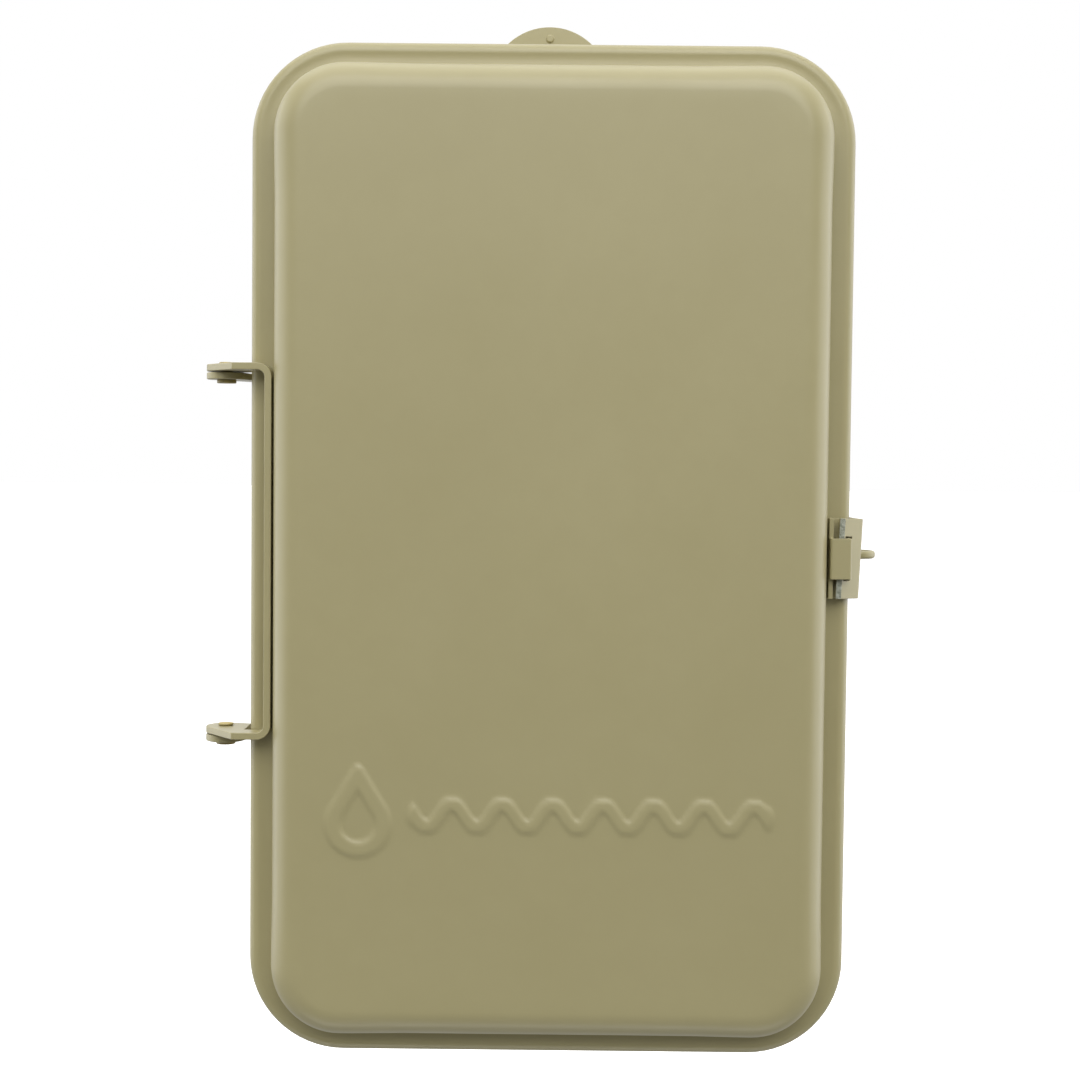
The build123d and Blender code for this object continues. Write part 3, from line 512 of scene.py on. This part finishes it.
def door_mesh():
    """The drawn door: swept section, embossed face and the same again for the inside of the sheet."""
    bm = bmesh.new()
    outer = door_profile()
    inner = profile_inside(outer)
    rings = []
    for section, facing in ((outer, 1), (inner, -1)):
        layer = []
        for inset, y in section:
            ring = []
            for x, z, nx, nz in outline(inset):
                push = swell(x, z, inset)
                ring.append(bm.verts.new(mm(x + nx * push, y, z + nz * push)))
            layer.append(ring)
        rings.append(layer)
    count = len(rings[0][0])
    for layer, flip in ((rings[0], False), (rings[1], True)):
        for a, b in zip(layer, layer[1:]):
            for k in range(count):
                n = (k + 1) % count
                quad = (a[k], a[n], b[n], b[k])
                bm.faces.new(quad[::-1] if flip else quad)
    for k in range(count):
        n = (k + 1) % count
        bm.faces.new((rings[0][0][n], rings[0][0][k], rings[1][0][k], rings[1][0][n]))
    for layer, face_y, flip in ((rings[0], FACE_Y, False), (rings[1], FACE_Y + SHEET, True)):
        rim = layer[-1]
        flat = [(v.co.x / MM, v.co.z / MM) for v in rim]
        verts, faces, rim_count = face_points(flat)
        made = list(rim)
        for v in verts[rim_count:]:
            made.append(bm.verts.new(mm(v.x, face_y - face_rise(v.x, v.y), v.y)))
        for face in faces:
            corners = [made[k] for k in face]
            bm.faces.new(corners if flip else corners[::-1])
    bmesh.ops.recalc_face_normals(bm, faces=bm.faces)
    mesh = bpy.data.meshes.new("door")
    bm.to_mesh(mesh)
    bm.free()
    for polygon in mesh.polygons:
        polygon.use_smooth = True
    return mesh


door = add_object("door", door_mesh(), paint, "door", ("door_shell",))
sharp = door.modifiers.new("skirt_edge", "EDGE_SPLIT")
sharp.split_angle = math.radians(50)

# ---------------------------------------------------------------- softened sheet metal


def softened(node, body, width, material=paint, segments=3, flat=False):
    """A copy of a CAD piece with its edges rounded as paint or tumbling leaves them."""
    bm = bmesh.new()
    bm.from_mesh(nodes[node].data)
    bmesh.ops.remove_doubles(bm, verts=bm.verts, dist=1e-6)
    bmesh.ops.dissolve_limit(bm, angle_limit=math.radians(0.6), verts=bm.verts, edges=bm.edges)
    mesh = bpy.data.meshes.new(node + "_soft")
    bm.to_mesh(mesh)
    bm.free()
    mesh.materials.clear()
    obj = add_object(node + "_soft", mesh, material, body, (node,))
    bevel = obj.modifiers.new("edges", "BEVEL")
    bevel.width = width * MM
    bevel.segments = segments
    bevel.limit_method = "ANGLE"
    bevel.angle_limit = math.radians(35)
    bevel.harden_normals = not flat
    if not flat:
        weighted = obj.modifiers.new("normals", "WEIGHTED_NORMAL")
        weighted.weight = 80
    for polygon in mesh.polygons:
        polygon.use_smooth = not flat
    return obj


softened("door_hinge_bracket", "door", 0.35)
softened("case_hinge_bracket", "case", 0.35)
softened("hasp_loop", "door", 0.15)
softened("padlock_staple", "case", 0.5)
softened("hanging_tab", "case", 0.3)
hasp = softened("hasp_plate", "hasp", 0.25)
softened("hinge_rivets", "case", 0.3, rivet_metal)

# the hasp's front edge was sheared after coating: bare metal on the faces that look straight forward
hasp.data.materials.append(cut_edge)
front_y = min(v.co.y for v in hasp.data.vertices)
for polygon in hasp.data.polygons:
    if polygon.center.y < front_y + 0.35 * MM and abs(polygon.normal.y) > 0.8:
        polygon.material_index = 1

# ---------------------------------------------------------------- inside the case

for node, body, width, material in (
    ("mechanism_plate", "case", 0.25, zinc),
    ("terminal_block", "case", 0.30, black_plastic),
    ("terminal_clamps", "case", 0.20, zinc),
    ("contact_block", "case", 0.40, brown_plastic),
    ("time_pointer", "case", 0.12, red_plastic),
    ("motor_can", "case", 0.30, zinc),
    ("switch_lever", "lever", 0.25, zinc),
    ("switch_rocker", "lever", 0.40, brown_plastic),
    ("on_trippers", "dial", 0.25, brass_metal),
    ("off_trippers", "dial", 0.25, zinc),
    ("tripper_screws", "dial", 0.20, brass_metal),
    ("dial_knob", "dial", 0.25, black_plastic),
    ("day_finger", "dial", 0.20, zinc),
    ("day_wheel", "day_wheel", 0.15, cream_print),
):
    softened(node, body, width, material, 2, node == "mechanism_plate")

ink = moulding("black_ink", (0.012, 0.012, 0.013), 0.45)
red_ink = moulding("red_ink", (0.38, 0.025, 0.015), 0.45)
label_stock = printed("label_stock", (0.74, 0.74, 0.70))
PRINT_T = 0.06


class Print:
    """Flat printing gathered in one mesh, on a plane that faces the front."""

    def __init__(self, y, facing=-1):
        self.bm = bmesh.new()
        self.y = y
        self.facing = facing

    def shape(self, points, index=0):
        """A flat closed outline in front-view millimetres, as a thin raised layer."""
        top = self.y + self.facing * PRINT_T
        back = [self.bm.verts.new(mm(x, self.y, z)) for x, z in points]
        front = [self.bm.verts.new(mm(x, top, z)) for x, z in points]
        faces = [self.bm.faces.new(front)]
        for k in range(len(points)):
            n = (k + 1) % len(points)
            faces.append(self.bm.faces.new((back[k], back[n], front[n], front[k])))
        for face in faces:
            face.material_index = index

    def box(self, x, z, w, h, angle=0.0, index=0):
        a = math.radians(angle)
        corners = ((-w / 2, -h / 2), (w / 2, -h / 2), (w / 2, h / 2), (-w / 2, h / 2))
        self.shape(
            [(x + u * math.cos(a) - v * math.sin(a), z + u * math.sin(a) + v * math.cos(a)) for u, v in corners],
            index,
        )

    def band(self, x, z, r_in, r_out, start, end, index=0, step=3.0):
        """Part of a ring, angles in degrees."""
        count = max(1, round((end - start) / step))
        for k in range(count):
            a0 = math.radians(start + (end - start) * k / count)
            a1 = math.radians(start + (end - start) * (k + 1) / count)
            self.shape(
                [
                    (x + r * math.cos(a), z + r * math.sin(a))
                    for r, a in ((r_in, a0), (r_out, a0), (r_out, a1), (r_in, a1))
                ],
                index,
            )

    def text(self, words, x, z, size, angle=0.0, index=0):
        curve = bpy.data.curves.new("print", "FONT")
        curve.body = words
        curve.size = size * MM
        curve.align_x = "CENTER"
        curve.align_y = "CENTER"
        curve.extrude = PRINT_T * MM / 2
        curve.resolution_u = 3
        source = bpy.data.objects.new("print", curve)
        mesh = bpy.data.meshes.new_from_object(source)
        upright = Euler((math.radians(90), 0, math.radians(180 if self.facing > 0 else 0))).to_matrix().to_4x4()
        turn = Euler((0, -math.radians(angle), 0)).to_matrix().to_4x4()
        mesh.transform(turn @ upright)
        for v in mesh.vertices:
            v.co += mm(x, self.y + self.facing * PRINT_T / 2, z)
        first = len(self.bm.faces)
        self.bm.from_mesh(mesh)
        self.bm.faces.ensure_lookup_table()
        for face in self.bm.faces[first:]:
            face.material_index = index
        bpy.data.objects.remove(source)

    def finish(self, name, body, slot, *materials):
        bmesh.ops.recalc_face_normals(self.bm, faces=self.bm.faces)
        mesh = bpy.data.meshes.new(name)
        self.bm.to_mesh(mesh)
        self.bm.free()
        obj = add_object(name, mesh, None, body)
        for material in materials:
            mesh.materials.append(material)
        return obj


def centre_of(node):
    """Front-view centre of a node's box."""
    low, high = (Vector(corner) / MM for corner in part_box(node))
    return (low.x + high.x) / 2, (low.z + high.z) / 2


def front_of(node):
    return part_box(node)[0].y / MM


def around(centre, radius, angle):
    """A point on a circle, angle in degrees."""
    a = math.radians(angle)
    return centre[0] + radius * math.cos(a), centre[1] + radius * math.sin(a)


# 24 hour dial: hour figures, quarter-hour marks and a dark band for the night hours
MARK_R, FIGURE_R, BAND_IN, BAND_OUT, ARROW_R = 48.0, 40.6, 32.4, 35.2, 20.8
dial = centre_of("dial_arbor")
dial_print = Print(front_of("dial_24_hour"))
for k in range(96):
    angle = 90 - 360 * k / 96
    long, line = (1.8, 0.45) if k % 4 else (3.6, 0.8)
    dial_print.box(*around(dial, MARK_R - long / 2, angle), long, line, angle)
for hour in range(24):
    angle = 90 + 15 * hour
    dial_print.text(str((hour - 1) % 12 + 1), *around(dial, FIGURE_R, angle), 5.6, angle - 90)
dial_print.band(*dial, BAND_IN, BAND_OUT, -360, -180)
dial_print.band(*dial, BAND_IN, BAND_IN + 0.5, -180, 180)
dial_print.band(*dial, BAND_OUT - 0.5, BAND_OUT, -180, 180)
# arrow that shows which way the dial turns
dial_print.band(*dial, ARROW_R - 0.6, ARROW_R + 0.6, 40, 140, 1)
dial_print.shape([around(dial, ARROW_R + off, angle) for off, angle in ((0, 34), (2.6, 42), (-2.6, 42))], 1)
dial_print.finish("dial_printing", "dial", "black_moulding", ink, red_ink)

# 14 day wheel: a figure inside each pin
day = centre_of("day_wheel_stud")
day_face = Print(front_of("day_wheel"))
for k in range(14):
    angle = 90 - 360 * k / 14
    day_face.text(str(k + 1), *around(day, 11.0, angle), 3.6, angle - 90)
day_face.finish("day_wheel_printing", "day_wheel", "black_moulding", ink)

# chassis: marks for the lever's two positions and a small arrow by the day wheel
plate_print = Print(front_of("mechanism_plate"))
for figure, angle in (("I", 156), ("O", 220)):
    plate_print.text(figure, *around(centre_of("lever_arbor"), 25.0, angle), 6.0)
plate_print.band(*day, 25.2, 26.2, 245, 290)
plate_print.shape([around(day, r, angle) for r, angle in ((25.7, 297), (27.8, 289), (23.6, 289))])
plate_print.finish("chassis_printing", "case", "black_moulding", ink)

# figures beside the terminals
clamp_low, clamp_high = (Vector(corner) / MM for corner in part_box("terminal_clamps"))
base_print = Print(clamp_high.y)
CLAMP_W = 8.4
pitch = (clamp_high.x - clamp_low.x - CLAMP_W) / 5
for k in range(6):
    base_print.text(str(k + 1), clamp_low.x + CLAMP_W / 2 + pitch * k, clamp_low.z - 1.5, 2.5)
base_print.finish("terminal_printing", "case", "white_print", white_print)

# paper wiring label inside the door: a ruled border, a small diagram and lines, no words
label = Print(FACE_Y + SHEET, 1)
label.box(0, 40, 92, 124, 0, 0)
label.y += PRINT_T


def frame_box(x, z, w, h, line=0.6):
    """A ruled rectangle on the label."""
    for side in (1, -1):
        label.box(x, z + side * h / 2, w + line, line, 0, 1)
    for side in (-1, 1):
        label.box(x + side * w / 2, z, line, h, 0, 1)


frame_box(0, 40, 86, 118, 0.5)
label.box(0, 93, 62, 4.5, 0, 1)
for row, length in enumerate((74, 70, 73, 52, 0, 72, 74, 66, 40)):
    if length:
        label.box(37 - length / 2, 84 - 4.4 * row, length, 0.8, 0, 1)
label.band(22, 26, 8.4, 9.0, 0, 360, 1, 10.0)
frame_box(-22, 26, 22, 14)
frame_box(0, -6, 66, 10)
for k in range(6):
    label.band(-27.5 + 11 * k, -6, 0, 1.8, 0, 360, 1, 30.0)
for x, top in ((16.5, 19.3), (27.5, 19.3), (-16.5, 19.0), (-27.5, 19.0)):
    label.box(x, (top - 1) / 2, 0.6, top + 1, 0, 1)
label.box(0, 26, 27, 0.6, 0, 1)
label.finish("wiring_label", "door", "white_print", label_stock, ink)

# ---------------------------------------------------------------- studio


def soft_light(name, place, target, size, power):
    """A rectangular softbox aimed at a point."""
    data = bpy.data.lights.new(name, "AREA")
    data.shape = "RECTANGLE"
    data.size, data.size_y = size
    data.energy = power
    lamp = bpy.data.objects.new(name, data)
    lamp.location = place
    lamp.visible_camera = False
    lamp.rotation_euler = (Vector(target) - Vector(place)).to_track_quat("-Z", "Y").to_euler()
    scene.collection.objects.link(lamp)
    return lamp


middle = (0.0, -0.05, 0.0)
soft_light("left_softbox", (-1.10, 0.05, 0.15), middle, (1.2, 1.2), 6.4)
soft_light("right_softbox", (1.10, 0.05, 0.15), middle, (1.2, 1.2), 6.6)
soft_light("top_softbox", (0.0, -0.15, 1.15), middle, (1.7, 1.5), 8.5)
soft_light("front_key", (0.0, -1.5, 1.1), middle, (2.2, 1.3), 29.0)
soft_light("low_bounce", (0.0, -0.17, -0.41), (0.0, -0.10, 0.0), (0.5, 0.08), 0.22)

world = bpy.data.worlds.new("studio")
scene.world = world
world.use_nodes = True
tree = world.node_tree
background = tree.nodes["Background"]
background.inputs["Strength"].default_value = 1.0


def world_node(kind, **settings):
    node = tree.nodes.new(kind)
    for key, value in settings.items():
        setattr(node, key, value)
    return node


def world_span(value, low, high, to_low, to_high):
    node = world_node("ShaderNodeMapRange")
    for name, number in (("From Min", low), ("From Max", high), ("To Min", to_low), ("To Max", to_high)):
        node.inputs[name].default_value = number
    tree.links.new(value, node.inputs["Value"])
    return node.outputs["Result"]


# white to the camera; to the object it is bright above and behind, dimmer below
path = world_node("ShaderNodeLightPath")
coords = world_node("ShaderNodeTexCoord")
split = world_node("ShaderNodeSeparateXYZ")
tree.links.new(coords.outputs["Generated"], split.inputs[0])
upward = world_span(split.outputs["Z"], -0.6, 0.3, 0.52, 1.0)
backward = world_span(split.outputs["Y"], -0.8, 0.8, 0.30, 1.10)
product = world_node("ShaderNodeMath", operation="MULTIPLY")
tree.links.new(upward, product.inputs[0])
tree.links.new(backward, product.inputs[1])
pick = world_node("ShaderNodeMix", data_type="FLOAT")
tree.links.new(path.outputs["Is Camera Ray"], pick.inputs[0])
tree.links.new(product.outputs[0], pick.inputs[2])
pick.inputs[3].default_value = 1.0
tree.links.new(pick.outputs[0], background.inputs["Color"])

floor_mesh = bpy.data.meshes.new("floor")
FLOOR_Z = -0.42
reach = 30.0
floor_mesh.from_pydata(
    [(-reach, -reach, FLOOR_Z), (reach, -reach, FLOOR_Z), (reach, reach, FLOOR_Z), (-reach, reach, FLOOR_Z)],
    [],
    [(0, 1, 2, 3)],
)
floor = bpy.data.objects.new("floor", floor_mesh)
scene.collection.objects.link(floor)
pale = bpy.data.materials.new("pale_floor")
pale.use_nodes = True
pale_bsdf = pale.node_tree.nodes["Principled BSDF"]
pale_bsdf.inputs["Base Color"].default_value = (0.9, 0.9, 0.9, 1.0)
pale_bsdf.inputs["Roughness"].default_value = 0.9
pale_bsdf.inputs["Emission Color"].default_value = (1.0, 1.0, 1.0, 1.0)
pale_bsdf.inputs["Emission Strength"].default_value = 0.75
floor.data.materials.append(pale)
floor.visible_diffuse = False
floor.visible_glossy = False
